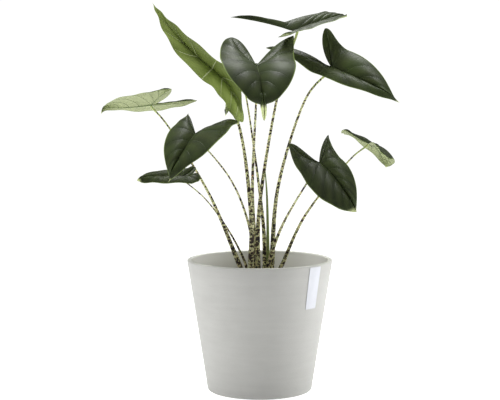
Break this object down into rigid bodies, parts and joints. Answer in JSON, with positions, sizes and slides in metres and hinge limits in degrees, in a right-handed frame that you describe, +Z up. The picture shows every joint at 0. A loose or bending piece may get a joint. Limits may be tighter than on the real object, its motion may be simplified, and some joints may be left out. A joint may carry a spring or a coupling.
{
  "type": "potted alocasia plant",
  "caption": "Potted zebra-stemmed alocasia: arrow-shaped dark leaves on long banded stalks rising from the compost of a tapered round floor planter.",
  "frame": {"origin": "centre of the planter's flat underside, on the floor it stands on", "axes": "+Z up along the planter's axis; -Y towards the front, the side the picture shows; +X to its right"},
  "size_m": [0.6221, 0.3954, 0.7974],
  "materials": {
    "planter": "matte, fine grain",
    "label": "smooth, blank",
    "soil": "rough, damp compost",
    "rootstock": "rough, fibrous",
    "stem": "satin, dark bands",
    "blade": "satin",
    "blade_new": "satin",
    "spear": "satin"
  },
  "bodies": {
    "root": {"planter_pot": "planter", "label_strip": "label", "potting_soil": "soil", "rootstock": "rootstock", "petiole_01": "stem", "petiole_02": "stem", "petiole_03": "stem", "petiole_04": "stem", "petiole_05": "stem", "petiole_06": "stem", "petiole_07": "stem", "petiole_08": "stem", "petiole_09": "stem", "petiole_10": "stem", "leaf_blade_01": "blade", "leaf_blade_02": "blade", "leaf_blade_03": "blade", "leaf_blade_04": "blade_new", "leaf_blade_05": "blade", "leaf_blade_06": "blade", "leaf_blade_07": "blade", "leaf_blade_08": "blade", "leaf_blade_09": "blade", "leaf_blade_10": "blade", "spear_sheath": "spear"}
  },
  "joints": []
}
